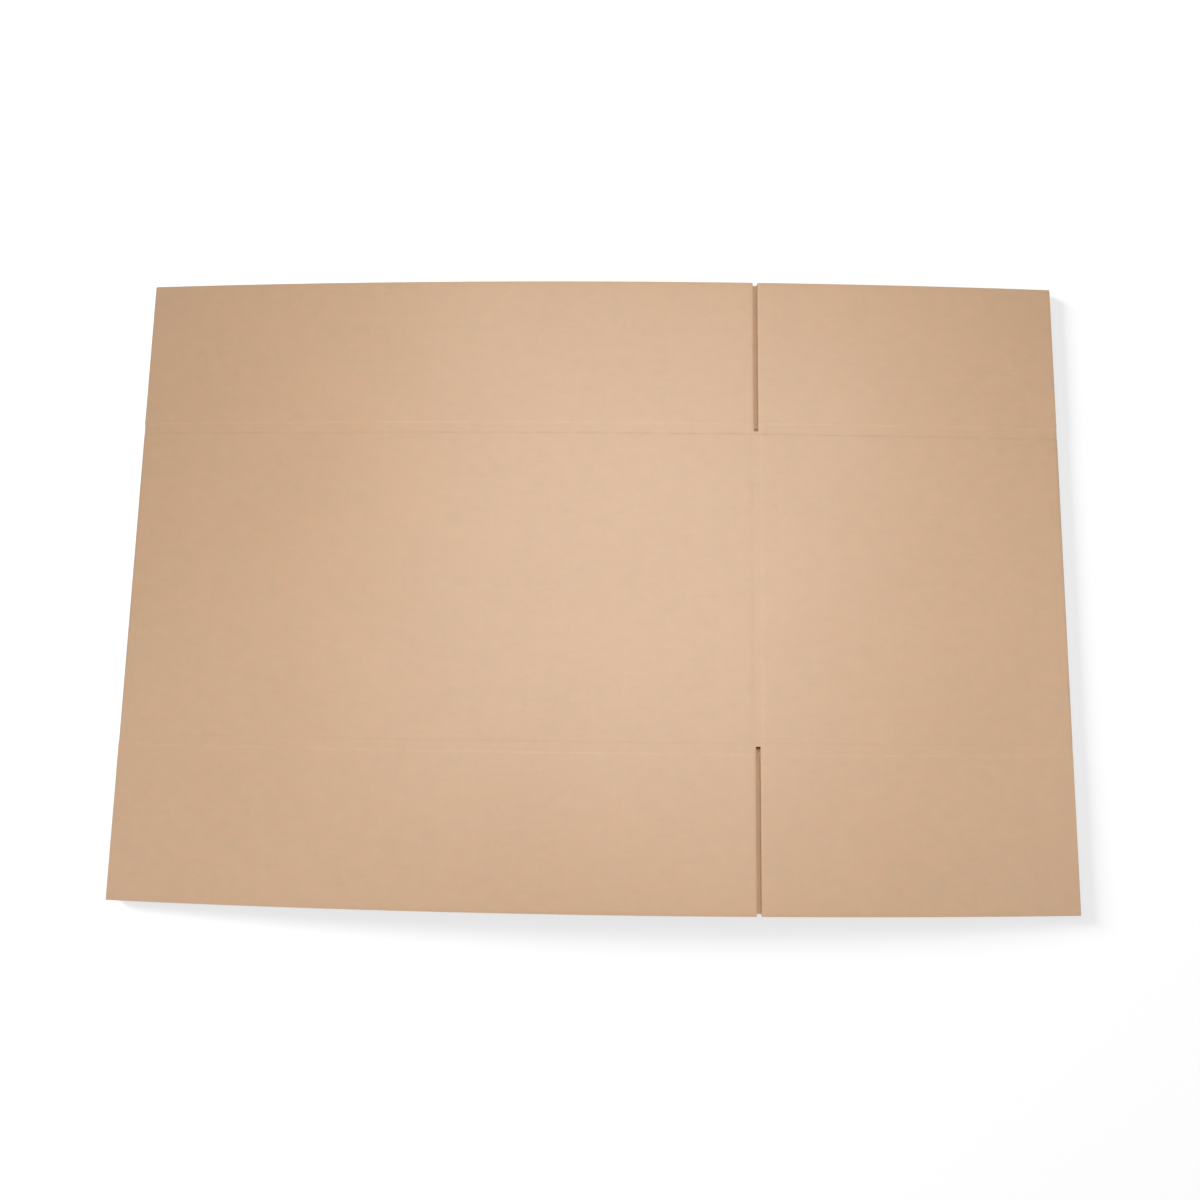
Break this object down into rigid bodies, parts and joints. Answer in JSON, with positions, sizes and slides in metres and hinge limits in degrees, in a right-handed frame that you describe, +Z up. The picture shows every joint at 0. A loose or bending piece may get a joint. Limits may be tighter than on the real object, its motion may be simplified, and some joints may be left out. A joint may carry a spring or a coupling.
{
  "type": "flattened cardboard box",
  "caption": "Regular slotted shipping box of single wall corrugated board, folded flat: two layers lying in a slight bow, with slotted flaps at both ends.",
  "frame": {"origin": "on the surface that the box lies on, at the middle of its outline", "axes": "+X across the panels, from the long visible panel towards the short one; +Y along the flutes, towards one row of flap ends; +Z up, out of the visible face"},
  "size_m": [0.606, 0.3984, 0.0183],
  "materials": {
    "kraft_board": "unbleached kraft liner, smooth and nearly matte"
  },
  "bodies": {
    "root": {"flattened_box": "kraft_board"}
  },
  "joints": []
}
